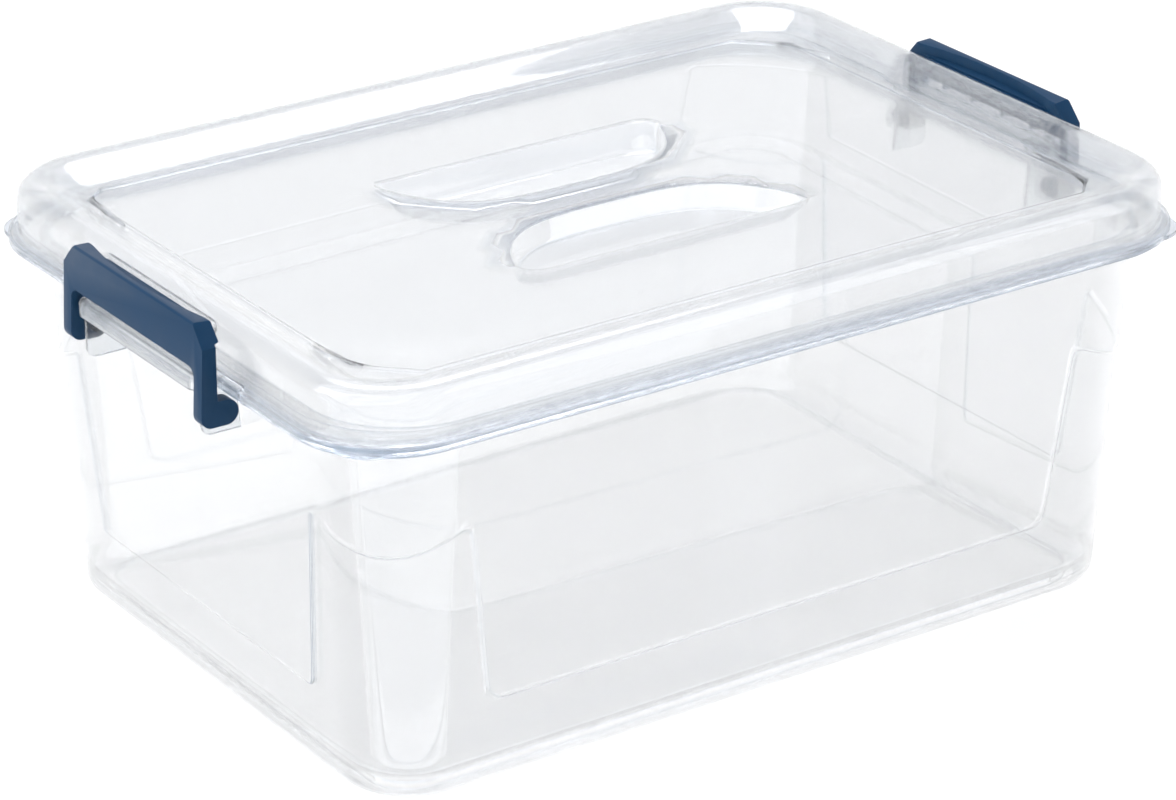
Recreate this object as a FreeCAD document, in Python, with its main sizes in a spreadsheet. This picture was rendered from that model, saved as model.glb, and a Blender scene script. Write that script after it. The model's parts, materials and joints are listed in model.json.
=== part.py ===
# Clear latching storage box: tub, lift-off lid and two swinging latch handles.
# X runs along the long side, Y across, Z up; the origin is the middle of the footprint.
import FreeCAD, Part
import Sketcher
import math
import os

os.makedirs("parts", exist_ok=True)
doc = FreeCAD.newDocument("box")

# ----------------------------------------------------------------------------
# Sizes, all in millimetres and degrees
# ----------------------------------------------------------------------------
SIZES = [
    # overall
    ("lid_length", "606"), ("lid_width", "434"), ("box_height", "268"), ("corner_radius", "63"),
    ("wall", "2.2"), ("lid_wall", "2"), ("latch_width", "159"),
    # tub
    ("tub_length", "=lid_length - 65"), ("tub_width", "=lid_width - 55"), ("tub_corner", "46"),
    ("draft_angle", "3.3"), ("floor_top", "7"), ("floor_thickness", "2.6"), ("foot_fillet", "11"),
    ("floor_fillet", "17"), ("foot_inset", "17"), ("wall_top", "=box_height - 29"),
    ("panel_step", "1.6"), ("panel_bottom", "55"), ("end_panel_width", "=lid_width - 204"),
    ("side_panel_length", "=lid_length - 218"), ("column_draft", "6.7"), ("column_dip", "157"),
    ("column_peak", "170"), ("column_arc", "74"), ("column_reach", "58"),
    # rim of the tub
    ("rim_gap", "1.2"), ("rim_lip", "2"), ("rim_top", "=box_height - 33"), ("rim_skirt", "6.5"),
    # bar and cheeks under each handle
    ("bar_length", "=latch_width - 24"), ("bar_reach", "=lid_length / 2 + 10.5"),
    ("bar_bottom", "=box_height - 40.5"), ("cheek_thickness", "3"),
    ("cheek_bottom", "=box_height - 69"), ("cheek_reach", "=lid_length / 2 + 5"),
    ("bar_gap", "0.5"), ("pin_radius", "3"), ("pin_length", "8"), ("pin_clearance", "0.35"),
    # lid
    ("skirt_bottom", "=box_height - 37"), ("ledge_inset", "6"), ("bead_radius", "12"),
    ("bead_slope", "30.5"), ("panel_drop", "11.7"), ("panel_border", "48.6"),
    ("border_step", "0.8"), ("border_cut", "30"), ("border_cut_small", "14"),
    ("tab_radius", "23.7"), ("tab_reach", "4.5"), ("tab_thickness", "2.5"), ("lid_seat_gap", "0.2"),
    ("notch_half", "=latch_width / 2 + 16.5"), ("seat_half", "=latch_width / 2 - 17.5"),
    ("seat_inset", "8.5"), ("seat_height", "=box_height - 10.3"),
    # finger pockets
    ("pocket_reach", "100"), ("pocket_outer", "84"), ("pocket_inner", "18"), ("pocket_depth", "15"),
    ("pocket_draft", "8"), ("pocket_nose", "14"),
    # latch handles
    ("leg_width", "9"), ("leg_inner", "=lid_length / 2 + 1.5"),
    ("leg_outer", "=lid_length / 2 + 12.5"), ("latch_top_outer", "=lid_length / 2 + 9.5"),
    ("latch_top", "=box_height + 1.5"), ("lip_reach", "=lid_length / 2 - 1.5"),
    ("lip_height", "=box_height + 0.7"), ("lip_hollow", "7"),
    ("catch_reach", "=lid_length / 2 - 7.7"), ("catch_half", "=latch_width / 2 - 21.5"),
    ("catch_bottom", "=seat_height + 1.2"), ("catch_thickness", "2.2"),
    ("shelf_top", "=seat_height + 4.8"),
    ("window_top", "=box_height - 25"), ("pivot_reach", "=lid_length / 2 - 2.5"),
    ("pivot_height", "=box_height - 51.5"), ("knuckle_radius", "7.6"), ("hook_reach", "1.5"),
    ("latch_chamfer", "13"),
    ("panel_thickness", "2.6"), ("latch_rib", "2"),
]
sheet = doc.addObject("Spreadsheet::Sheet", "Sizes")
for row, (alias, value) in enumerate(SIZES, 1):
    sheet.set("A%d" % row, alias)
    sheet.set("B%d" % row, value)
    sheet.setAlias("B%d" % row, alias)
doc.recompute()
v = {alias: float(getattr(sheet, alias)) for alias, _ in SIZES}


def cell(expression):
    """Turn bare size names into references to the sheet."""
    names = sorted((alias for alias, _ in SIZES), key=len, reverse=True)
    out, i = "", 0
    while i < len(expression):
        hit = next((n for n in names if expression.startswith(n, i)), None)
        if hit:
            out += "Sizes." + hit
            i += len(hit)
        else:
            out += expression[i]
            i += 1
    return out


def number(expression):
    """Value of an expression made of size names, + - * / and brackets."""
    probe = doc.addObject("Part::Box", "Probe")
    probe.setExpression("Length", cell("(" + expression + ") + 1000"))
    doc.recompute([probe])
    result = float(probe.Length) - 1000
    doc.removeObject(probe.Name)
    return result


# ----------------------------------------------------------------------------
# Building blocks
# ----------------------------------------------------------------------------
def outline(sketch, half_x, half_y, radius):
    """Rounded rectangle centred on the sketch origin, sized from the sheet."""
    hx, hy, r = number(half_x), number(half_y), number(radius)
    vec = FreeCAD.Vector
    corners = [(hx - r, hy - r, 0), (r - hx, hy - r, 90), (r - hx, r - hy, 180), (hx - r, r - hy, 270)]
    arcs = []
    for cx, cy, start in corners:
        circle = Part.Circle(vec(cx, cy, 0), vec(0, 0, 1), r)
        a = math.radians(start)
        arcs.append(sketch.addGeometry(Part.ArcOfCircle(circle, a, a + math.pi / 2), False))
    ends = [((hx - r, hy), (r - hx, hy)), ((-hx, hy - r), (-hx, r - hy)),
            ((r - hx, -hy), (hx - r, -hy)), ((hx, r - hy), (hx, hy - r))]
    lines = [sketch.addGeometry(Part.LineSegment(vec(*a, 0), vec(*b, 0)), False) for a, b in ends]
    add = lambda *args: sketch.addConstraint(Sketcher.Constraint(*args))
    for k in range(4):
        add("Tangent", arcs[k], 2, lines[k], 1)
        add("Tangent", lines[k], 2, arcs[(k + 1) % 4], 1)
        add("Vertical" if k % 2 else "Horizontal", lines[k])
        if k:
            add("Equal", arcs[0], arcs[k])
    named = [("radius", ("Radius", arcs[0], r), radius),
             ("right", ("DistanceX", -1, 1, lines[3], 1, hx), half_x),
             ("left", ("DistanceX", lines[1], 1, -1, 1, hx), half_x),
             ("back", ("DistanceY", -1, 1, lines[0], 1, hy), half_y),
             ("front", ("DistanceY", lines[2], 1, -1, 1, hy), half_y)]
    for name, args, expression in named:
        index = add(*args)
        sketch.renameConstraint(index, name)
        sketch.setExpression("Constraints." + name, cell(expression))


def slab(name, half_x, half_y, radius, low, high, draft=None):
    """Rounded rectangular block between two heights; a draft widens it upwards."""
    body = doc.addObject("PartDesign::Body", name)
    plane = next(f for f in body.Origin.OriginFeatures if f.Role == "XY_Plane")
    sketch = body.newObject("Sketcher::SketchObject", name + "Outline")
    sketch.AttachmentSupport = [(plane, "")]
    sketch.MapMode = "FlatFace"
    sketch.setExpression("AttachmentOffset.Base.z", cell(low))
    outline(sketch, half_x, half_y, radius)
    pad = body.newObject("PartDesign::Pad", name + "Pad")
    pad.Profile = sketch
    pad.setExpression("Length", cell("(" + high + ") - (" + low + ")"))
    if draft:
        pad.setExpression("TaperAngle", cell(draft))
    doc.recompute()
    return body


def block(name, low, high):
    """Box from one corner to the opposite one, each an (x, y, z) of expressions."""
    box = doc.addObject("Part::Box", name)
    for size, axis, a, b in zip(("Length", "Width", "Height"), "xyz", low, high):
        box.setExpression(size, cell("(" + b + ") - (" + a + ")"))
        box.setExpression("Placement.Base." + axis, cell(a))
    return box


def rod(name, radius, length, x, y, z, direction):
    """Round bar along a direction from a start point."""
    bar = doc.addObject("Part::Cylinder", name)
    bar.setExpression("Radius", cell(radius))
    bar.setExpression("Height", cell(length))
    turn = FreeCAD.Rotation(FreeCAD.Vector(0, 0, 1), FreeCAD.Vector(*direction))
    bar.Placement = FreeCAD.Placement(FreeCAD.Vector(0, 0, 0), turn)
    for axis, value in zip("xyz", (x, y, z)):
        bar.setExpression("Placement.Base." + axis, cell(value))
    return bar


def fuse(name, parts):
    joined = doc.addObject("Part::MultiFuse", name)
    joined.Shapes = parts
    joined.Refine = True
    doc.recompute()
    return joined


def cut(name, base, tool):
    result = doc.addObject("Part::Cut", name)
    result.Base, result.Tool = base, tool
    result.Refine = True
    doc.recompute()
    return result


def round_edges(name, base, radius, test):
    """Fillet every edge whose bounding box passes a test."""
    doc.recompute()
    rounded = doc.addObject("Part::Fillet", name)
    rounded.Base = base
    r = number(radius)
    picked = [(i, r, r) for i, e in enumerate(base.Shape.Edges, 1) if test(e.BoundBox)]
    rounded.Edges = picked
    doc.recompute()
    return rounded


def bevel_edges(name, base, test, size):
    """Cut off every edge whose bounding box passes a test, by a size that may differ."""
    doc.recompute()
    bevelled = doc.addObject("Part::Chamfer", name)
    bevelled.Base = base
    boxes = [(i, e.BoundBox) for i, e in enumerate(base.Shape.Edges, 1)]
    bevelled.Edges = [(i, size(b), size(b)) for i, b in boxes if test(b)]
    doc.recompute()
    return bevelled


def mirrored(name, source, normal):
    """Mirror image of a solid through the middle plane."""
    twin = doc.addObject("Part::Mirroring", name)
    twin.Source = source
    twin.Normal = FreeCAD.Vector(*normal)
    doc.recompute()
    return twin


# ----------------------------------------------------------------------------
# Tub: drafted walls with raised panels, hollow inside, foot, rim, bars, cheeks
# ----------------------------------------------------------------------------
HALF_L, HALF_W = "tub_length / 2", "tub_width / 2"


def column_mask(name):
    """Bottom band and the four corner columns, where the wall steps inwards."""
    band = block(name + "Band", ("-400", "-400", "-5"), ("400", "400", "panel_bottom"))
    pieces = [band]
    for k, (sx, sy) in enumerate(((1, 1), (1, -1), (-1, 1), (-1, -1))):
        body = doc.addObject("PartDesign::Body", "%sCorner%d" % (name, k))
        plane = next(f for f in body.Origin.OriginFeatures if f.Role == "XY_Plane")
        sketch = body.newObject("Sketcher::SketchObject", "%sPlan%d" % (name, k))
        sketch.AttachmentSupport = [(plane, "")]
        sketch.MapMode = "FlatFace"
        x0, y0 = sx * v["side_panel_length"] / 2, sy * v["end_panel_width"] / 2
        pts = [(x0, y0), (sx * 340, y0), (sx * 340, sy * 260), (x0, sy * 260)]
        ids = [sketch.addGeometry(Part.LineSegment(FreeCAD.Vector(*pts[i], 0),
               FreeCAD.Vector(*pts[(i + 1) % 4], 0)), False) for i in range(4)]
        add = lambda *args: sketch.addConstraint(Sketcher.Constraint(*args))
        for i in range(4):
            add("Coincident", ids[i], 2, ids[(i + 1) % 4], 1)
            add("Vertical" if i % 2 else "Horizontal", ids[i])
        ends = {1: (-1, 1, ids[0], 1), -1: (ids[0], 1, -1, 1)}
        far = {1: (-1, 1, ids[2], 1), -1: (ids[2], 1, -1, 1)}
        for label, kind, where, size, expr in (
                ("nearx", "DistanceX", ends[sx], abs(x0), "side_panel_length / 2"),
                ("neary", "DistanceY", ends[sy], abs(y0), "end_panel_width / 2"),
                ("farx", "DistanceX", far[sx], 340, "lid_length / 2 + 37"),
                ("fary", "DistanceY", far[sy], 260, "lid_width / 2 + 43")):
            index = add(kind, *where, size)
            sketch.renameConstraint(index, label)
            sketch.setExpression("Constraints." + label, cell(expr))
        pad = body.newObject("PartDesign::Pad", "%sPad%d" % (name, k))
        pad.Profile = sketch
        pad.setExpression("Length", cell("column_peak"))
        pad.setExpression("TaperAngle", cell("-column_draft"))
        arc = rod("%sArc%d" % (name, k), "column_arc", "400",
                  "%d * column_reach / 1.4142" % sx, "%d * -column_reach / 1.4142" % sy,
                  "column_dip + column_arc", (sx, sy, 0))
        pieces.append(cut("%sColumn%d" % (name, k), body, arc))
    return fuse(name, pieces)


def stepped(name, inset, low, high, rounding):
    """Wall surface with the columns and bottom band set back by the panel step."""
    full = slab(name + "Panels", HALF_L + " - " + inset, HALF_W + " - " + inset,
                "tub_corner - " + inset, low, high, "draft_angle")
    core = slab(name + "Core", HALF_L + " - panel_step - " + inset, HALF_W + " - panel_step - " + inset,
                "tub_corner - panel_step - " + inset, low, high, "draft_angle")
    skin = cut(name + "Skin", column_mask(name + "Mask"), core)
    body = cut(name + "Stepped", full, skin)
    bottom = number(low)
    return round_edges(name, body, rounding,
                       lambda b: abs(b.ZMax - bottom) < 1e-3 and b.ZMin > bottom - 1e-3)


outer = stepped("Outer", "0", "0", "wall_top", "foot_fillet")
inner = stepped("Inner", "wall", "floor_top", "wall_top + 4", "floor_fillet")
under = slab("FootHollow", HALF_L + " - foot_inset", HALF_W + " - foot_inset",
             "tub_corner - foot_inset", "-1", "floor_top - floor_thickness")

EDGE = "lid_wall + rim_gap"
rim = slab("RimPlate", "lid_length / 2 - (" + EDGE + ")", "lid_width / 2 - (" + EDGE + ")",
           "corner_radius - (" + EDGE + ")", "rim_top - rim_skirt", "rim_top")
rim_in = slab("RimUnder", "lid_length / 2 - (" + EDGE + ") - rim_lip",
              "lid_width / 2 - (" + EDGE + ") - rim_lip",
              "corner_radius - (" + EDGE + ") - rim_lip", "rim_top - rim_skirt - 1", "rim_top - wall")
rim_ring = cut("Rim", rim, rim_in)

pieces = [outer, rim_ring]
for side, s in (("Right", 1), ("Left", -1)):
    def span(a, b):
        return (a, b) if s > 0 else ("-(" + b + ")", "-(" + a + ")")
    x0, x1 = span("lid_length / 2 - ledge_inset + bar_gap", "bar_reach")
    bar = block("Bar" + side, (x0, "-bar_length / 2", "bar_bottom"), (x1, "bar_length / 2", "wall_top - 1"))
    ends = round_edges("BarRound" + side, bar, "3", lambda b: b.ZLength > 5 and abs(b.XMin) > 300)
    x0, x1 = span("lid_length / 2 - (" + EDGE + ")", "bar_reach - wall")
    core = block("BarCore" + side, (x0, "-bar_length / 2 + wall", "bar_bottom - 1"),
                 (x1, "bar_length / 2 - wall", "wall_top - 1 - wall"))
    pieces.append(cut("BarShell" + side, ends, core))
    for mark, t in (("A", 1), ("B", -1)):
        low, high = "bar_length / 2 - cheek_thickness", "bar_length / 2"
        y0, y1 = (low, high) if t > 0 else ("-(" + high + ")", "-(" + low + ")")
        x0, x1 = span("tub_length / 2", "cheek_reach")
        cheek = block("Cheek" + side + mark, (x0, y0, "cheek_bottom"), (x1, y1, "bar_bottom + 2"))
        pieces.append(round_edges("CheekRound" + side + mark, cheek, "6",
                                  lambda b: b.YLength > 2 and b.ZMax < v["cheek_bottom"] + 1
                                  and abs(b.XMin) > v["lid_length"] / 2 - 3))
        pieces.append(rod("Pin" + side + mark, "pin_radius", "pin_length + 2", "%d * pivot_reach" % s,
                          "%d * (bar_length / 2 - 2)" % t, "pivot_height", (0, t, 0)))
solid = fuse("TubSolid", pieces)
hollow = fuse("TubHollow", [inner, under])
tub = cut("Tub", solid, hollow)

# ----------------------------------------------------------------------------
# Lid: moulded edge section carried round the outline, flat panel, pockets
# ----------------------------------------------------------------------------
def edge_section(offset):
    """Points of the lid's surface from the skirt in to the panel, (inset, height, kind).

    offset 0 is the outer skin, offset lid_wall the inner one.
    """
    r, top = v["bead_radius"], v["box_height"]
    a = math.radians(v["bead_slope"])
    ci, cz = v["ledge_inset"] + r, top - r
    ledge = v["rim_top"] + v["lid_seat_gap"] + v["lid_wall"]
    rr = r - offset
    lean = (ci + rr * math.sin(a), cz + rr * math.cos(a))
    panel = top - v["panel_drop"] - offset
    run = (lean[1] - panel) / math.tan(a)
    return dict(skirt=(offset, v["skirt_bottom"]), corner=(offset, ledge - offset),
                root=(v["ledge_inset"] + offset, ledge - offset), side=(v["ledge_inset"] + offset, cz),
                crown=(ci, cz + rr), centre=(ci, cz), lean=lean, foot=(lean[0] + run, panel), radius=rr)


def section_face(reach):
    """Closed lid section in the plane Y = 0 with its skirt at X = reach."""
    def at(p):
        return FreeCAD.Vector(reach - p[0], 0, p[1])
    o, i = edge_section(0), edge_section(v["lid_wall"])
    inner_end = v["panel_border"] + 1
    po, pi = (inner_end, o["foot"][1]), (inner_end, i["foot"][1])

    def bead(s):
        mid = (s["centre"][0] - s["radius"] * math.sin(math.radians(45)),
               s["centre"][1] + s["radius"] * math.cos(math.radians(45)))
        past = math.radians(v["bead_slope"] / 2)
        mid2 = (s["centre"][0] + s["radius"] * math.sin(past), s["centre"][1] + s["radius"] * math.cos(past))
        return [Part.Arc(at(s["side"]), at(mid), at(s["crown"])).toShape(),
                Part.Arc(at(s["crown"]), at(mid2), at(s["lean"])).toShape()]

    def run(*points):
        return [Part.LineSegment(at(a), at(b)).toShape() for a, b in zip(points, points[1:])]
    edges = run(o["skirt"], o["corner"], o["root"], o["side"]) + bead(o) + run(o["lean"], o["foot"], po, pi)
    edges += run(pi, i["foot"], i["lean"]) + bead(i)
    edges += run(i["side"], i["root"], i["corner"], i["skirt"], o["skirt"])
    wire = Part.Wire(Part.__sortEdges__(edges))
    return Part.Face(wire)


def edge_ring():
    """The section carried along four straights and turned about four corner axes."""
    hx, hy, r = v["lid_length"] / 2, v["lid_width"] / 2, v["corner_radius"]
    vec = FreeCAD.Vector
    parts = []
    for turn, reach, length in ((0, hx, 2 * (hy - r)), (90, hy, 2 * (hx - r)), (180, hx, 2 * (hy - r)),
                                (270, hy, 2 * (hx - r))):
        face = section_face(reach)
        face.translate(vec(0, -length / 2, 0))
        bar = face.extrude(vec(0, length, 0))
        bar.rotate(vec(0, 0, 0), vec(0, 0, 1), turn)
        parts.append(bar)
    for turn, cx, cy in ((0, hx - r, hy - r), (90, r - hx, hy - r), (180, r - hx, r - hy),
                         (270, hx - r, r - hy)):
        bend = section_face(r).revolve(vec(0, 0, 0), vec(0, 0, 1), 90)
        bend.rotate(vec(0, 0, 0), vec(0, 0, 1), turn)
        bend.translate(vec(cx, cy, 0))
        parts.append(bend)
    ring = parts[0].fuse(parts[1:])
    return ring.removeSplitter()


ring = doc.addObject("Part::Feature", "LidRing")
ring.Shape = edge_ring()
PANEL_TOP = "box_height - panel_drop"
plate = slab("LidPlate", "lid_length / 2 - panel_border", "lid_width / 2 - panel_border",
             "corner_radius - panel_border", PANEL_TOP + " - lid_wall", PANEL_TOP)
lip_block = block("LidStepBlock", ("panel_border - lid_length / 2", "panel_border - lid_width / 2",
                                   PANEL_TOP + " - border_step"),
                  ("lid_length / 2 - panel_border", "lid_width / 2 - panel_border", PANEL_TOP + " + 5"))
lip = bevel_edges("LidStep", lip_block, lambda b: b.ZLength > 4 and b.XLength < 1 and b.YLength < 1,
                  lambda b: v["border_cut"] if b.XMin * b.YMin > 0 else v["border_cut_small"])

tab_inner = slab("TabInside", "lid_length / 2 - lid_wall / 2", "lid_width / 2 - lid_wall / 2",
                 "corner_radius - lid_wall / 2", "skirt_bottom - 1", "skirt_bottom + tab_thickness + 1")
tabs = []
for k, (sx, sy) in enumerate(((1, 1), (1, -1), (-1, 1), (-1, -1))):
    reach = "(corner_radius + tab_reach - tab_radius) * 0.7071"
    disc = rod("Tab%d" % k, "tab_radius", "tab_thickness",
               "%d * (lid_length / 2 - corner_radius + %s)" % (sx, reach),
               "%d * (lid_width / 2 - corner_radius + %s)" % (sy, reach), "skirt_bottom", (0, 0, 1))
    tabs.append(cut("TabRim%d" % k, disc, tab_inner))


def pocket_wire(inset, z):
    """Boat-shaped finger pocket outline at one height, moved inwards by inset."""
    vec = FreeCAD.Vector
    reach, out, inn, nose = v["pocket_reach"], v["pocket_outer"], v["pocket_inner"], v["pocket_nose"]
    curve = [(reach, out - nose), (reach * 0.95, inn + 39), (reach * 0.8, inn + 19), (reach * 0.5, inn + 4),
             (0, inn), (-reach * 0.5, inn + 4), (-reach * 0.8, inn + 19), (-reach * 0.95, inn + 39),
             (-reach, out)]
    moved = []
    for k, (x, y) in enumerate(curve):
        (xa, ya), (xb, yb) = curve[max(k - 1, 0)], curve[min(k + 1, len(curve) - 1)]
        length = math.hypot(xb - xa, yb - ya)
        moved.append(vec(x + (yb - ya) / length * inset, y - (xb - xa) / length * inset, z))
    moved[0] = vec(reach - inset, out - nose, z)
    moved[-1] = vec(-reach + 1.3 * inset, out - inset, z)
    q = (nose - inset) * (1 - math.sqrt(0.5))
    far, side = vec(reach - nose, out - inset, z), moved[0]
    spline = Part.BSplineCurve()
    spline.interpolate(moved)
    edges = [Part.LineSegment(moved[-1], far).toShape(),
             Part.Arc(far, vec(reach - inset - q, out - inset - q, z), side).toShape(), spline.toShape()]
    return Part.Wire(edges)


def pocket_block(name, grow, low, high, draft):
    """Drafted plug of the pocket outline, narrower at the bottom."""
    shrink = (high - low) * math.tan(math.radians(draft))
    plug = doc.addObject("Part::Feature", name)
    plug.Shape = Part.makeLoft([pocket_wire(-grow, high), pocket_wire(shrink - grow, low)], True, True)
    return plug


panel_top = v["box_height"] - v["panel_drop"]
floor_z = panel_top - v["pocket_depth"]
shells, wells = [], []
for mark, angle in (("A", 0), ("B", 180)):
    shell = pocket_block("PocketShell" + mark, v["lid_wall"], floor_z - v["lid_wall"], panel_top - 0.5,
                         v["pocket_draft"])
    well = pocket_block("PocketWell" + mark, 0, floor_z, panel_top + 1, v["pocket_draft"])
    for piece in (shell, well):
        piece.Placement = FreeCAD.Placement(FreeCAD.Vector(0, 0, 0), FreeCAD.Rotation(angle, 0, 0))
    shells.append(shell)
    wells.append(well)

seats, notches = [], []
for side, s in (("Right", 1), ("Left", -1)):
    def span(a, b):
        return (a, b) if s > 0 else ("-(" + b + ")", "-(" + a + ")")
    x0, x1 = span("lid_length / 2 - seat_inset - lid_wall", "lid_length / 2 - ledge_inset")
    seats.append(block("Seat" + side, (x0, "-seat_half - lid_wall", "seat_height - 4"),
                       (x1, "seat_half + lid_wall", "seat_height + 4")))
    x0, x1 = span("lid_length / 2 - seat_inset", "lid_length / 2")
    notches.append(block("SeatCut" + side, (x0, "-seat_half", "seat_height"),
                         (x1, "seat_half", "box_height + 5")))
    x0, x1 = span("lid_length / 2 - ledge_inset", "lid_length / 2 + 5")
    notches.append(block("SkirtCut" + side, (x0, "-notch_half", "skirt_bottom - 5"),
                         (x1, "notch_half", "box_height + 5")))
lid_solid = fuse("LidSolid", [ring, plate] + shells + seats + tabs)
lid = cut("Lid", lid_solid, fuse("LidCuts", wells + notches + [lip]))

# ----------------------------------------------------------------------------
# Latch handle: side outline drawn across, window cut through, hollow with ribs
# ----------------------------------------------------------------------------
def side_outline(points):
    """Closed outline in the XZ plane; a point may carry a rounding radius."""
    vec = FreeCAD.Vector
    n = len(points)
    edges, last = [], None
    first = None
    for k in range(n):
        p0, p1, p2 = points[k - 1][:2], points[k][:2], points[(k + 1) % n][:2]
        r = points[k][2] if len(points[k]) > 2 else 0
        here = vec(p1[0], 0, p1[1])
        if r:
            a = vec(p0[0] - p1[0], 0, p0[1] - p1[1]).normalize()
            b = vec(p2[0] - p1[0], 0, p2[1] - p1[1]).normalize()
            half = math.acos(max(-1, min(1, a.dot(b)))) / 2
            t, d = r / math.tan(half), r / math.sin(half)
            start, end = here + a * t, here + b * t
            middle = here + (a + b).normalize() * (d - r)
            if last:
                edges.append(Part.LineSegment(last, start).toShape())
            else:
                first = start
            edges.append(Part.Arc(start, middle, end).toShape())
            last = end
        else:
            if last:
                edges.append(Part.LineSegment(last, here).toShape())
            else:
                first = here
            last = here
    edges.append(Part.LineSegment(last, first).toShape())
    return Part.Face(Part.Wire(edges))


def sweep_across(face, low, high):
    solid = face.copy()
    solid.translate(FreeCAD.Vector(0, low, 0))
    return solid.extrude(FreeCAD.Vector(0, high - low, 0))


def handle_blank():
    """Handle without its window: side outline of leg, hook and lip carried across."""
    pr, ph, k = v["pivot_reach"], v["pivot_height"], v["knuckle_radius"]
    top, lo, li = v["latch_top"], v["leg_outer"], v["leg_inner"]
    lip, low = v["lip_reach"], v["catch_bottom"]
    outline_points = [(v["latch_top_outer"], top, 1.5), (lip, v["lip_height"], 0.8), (lip, low, 0.5),
                      (li, low - 0.8, 0.3), (li, ph + k, 1.5), (pr - k - v["hook_reach"], ph + k, k - 0.01),
                      (pr - k - v["hook_reach"], ph - k, k - 0.01), (lo, ph - k, 7)]
    return sweep_across(side_outline(outline_points), -v["latch_width"] / 2, v["latch_width"] / 2)


def handle_shape():
    vec = FreeCAD.Vector
    half, leg = v["latch_width"] / 2, v["leg_width"]
    body = handle_blank()
    # window between the legs, with rounded upper corners
    w = half - leg
    lo_z, hi_z = v["pivot_height"] - 20, v["window_top"]
    window = Part.makeBox(60, 2 * w, hi_z - lo_z, vec(v["lip_reach"] - 20, -w, lo_z))
    upper = [e for e in window.Edges if e.BoundBox.XLength > 50 and e.BoundBox.ZMin > hi_z - 1]
    window = window.makeFillet(6, upper)
    body = body.cut(window)
    # cut-off upper corners
    c = v["latch_chamfer"]
    for s in (1, -1):
        high, low = v["latch_top"] + 2, v["latch_top"] - c - 2
        tri = Part.makePolygon([vec(270, s * (half - c), high), vec(270, s * (half + 2), high),
                                vec(270, s * (half + 2), low), vec(270, s * (half - c), high)])
        body = body.cut(Part.Face(tri).extrude(vec(60, 0, 0)))
    # hollowed top edge, above the shelf that carries the catch
    d = v["lip_hollow"]
    span = half - 14
    radius = (span * span + d * d) / (2 * d)
    bite = Part.makeCylinder(radius, v["latch_top"], vec(v["lip_reach"] + d - radius, 0, v["shelf_top"]))
    body = body.cut(bite)
    # catch that closes over the seat of the lid
    catch = Part.makeBox(v["lip_reach"] + 1 - v["catch_reach"], 2 * v["catch_half"], v["catch_thickness"],
                         vec(v["catch_reach"], -v["catch_half"], v["catch_bottom"]))
    nose = [e for e in catch.Edges if e.BoundBox.YLength > 50 and e.BoundBox.XMax < v["catch_reach"] + 0.1]
    body = body.fuse(catch.makeFillet(0.8, nose))
    # hollow behind the outer panel, leaving ribs
    t = v["panel_thickness"]
    ribs = [-0.62 * w, -0.21 * w, 0.21 * w, 0.62 * w]
    marks = [-w - 3] + ribs + [w + 3]
    back, front = v["lip_reach"] - 20, v["latch_top_outer"] - t
    for a, b in zip(marks, marks[1:]):
        limit = side_outline([(back, v["window_top"] - 11.5), (front, v["window_top"] - 11.5),
                              (front, v["shelf_top"] - t), (v["lip_reach"] + t, v["shelf_top"] - t),
                              (v["lip_reach"] + t, v["catch_bottom"] - 3), (back, v["catch_bottom"] - 3)])
        body = body.cut(sweep_across(limit, a + v["latch_rib"] / 2, b - v["latch_rib"] / 2))
    # blind bores for the pivot pins
    bore = v["pin_radius"] + v["pin_clearance"]
    for s in (1, -1):
        start = s * (w - 1)
        depth = v["pin_length"] + 0.6 + 1 - (v["latch_width"] / 2 - leg - v["bar_length"] / 2)
        hole = Part.makeCylinder(bore, depth, vec(v["pivot_reach"], start, v["pivot_height"]), vec(0, s, 0))
        body = body.cut(hole)
    return body.removeSplitter()


latch_right = doc.addObject("Part::Feature", "LatchRight")
latch_right.Shape = handle_shape()
latch_left = mirrored("LatchLeft", latch_right, (1, 0, 0))

# ----------------------------------------------------------------------------
# Check and write
# ----------------------------------------------------------------------------
doc.recompute()
NODES = {"tub": tub, "lid": lid, "latch_left": latch_left, "latch_right": latch_right}
for obj in doc.Objects:
    if any(flag in obj.State for flag in ("Invalid", "Error")):
        raise RuntimeError("feature failed: " + obj.Label)
for name, obj in NODES.items():
    obj.Label = name
    shape = obj.Shape
    if shape.isNull() or not shape.isValid():
        raise RuntimeError("bad shape: " + name)
    if len(shape.Solids) != 1:
        raise RuntimeError("%s has %d solids" % (name, len(shape.Solids)))
    shape.exportStep("parts/%s.step" % name)
    box = shape.BoundBox
    print("%-12s %7.1f %7.1f %7.1f  volume %8.1f cm3" % (name, box.XLength, box.YLength, box.ZLength,
                                                         shape.Volume / 1000))
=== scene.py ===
# %% [markdown]
# A clear latching storage box: a drafted tub, a lid with a rounded bead and two finger pockets,
# and two blue latch handles. The measured solids come in as a fixed frame; every shell is then
# made again as a smooth numpy surface, because clear plastic shows each facet of a mesh.

# %% Load the frame
import json
import math

import bmesh
import bpy
import numpy as np
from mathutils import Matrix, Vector
from mathutils.geometry import delaunay_2d_cdt

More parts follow.
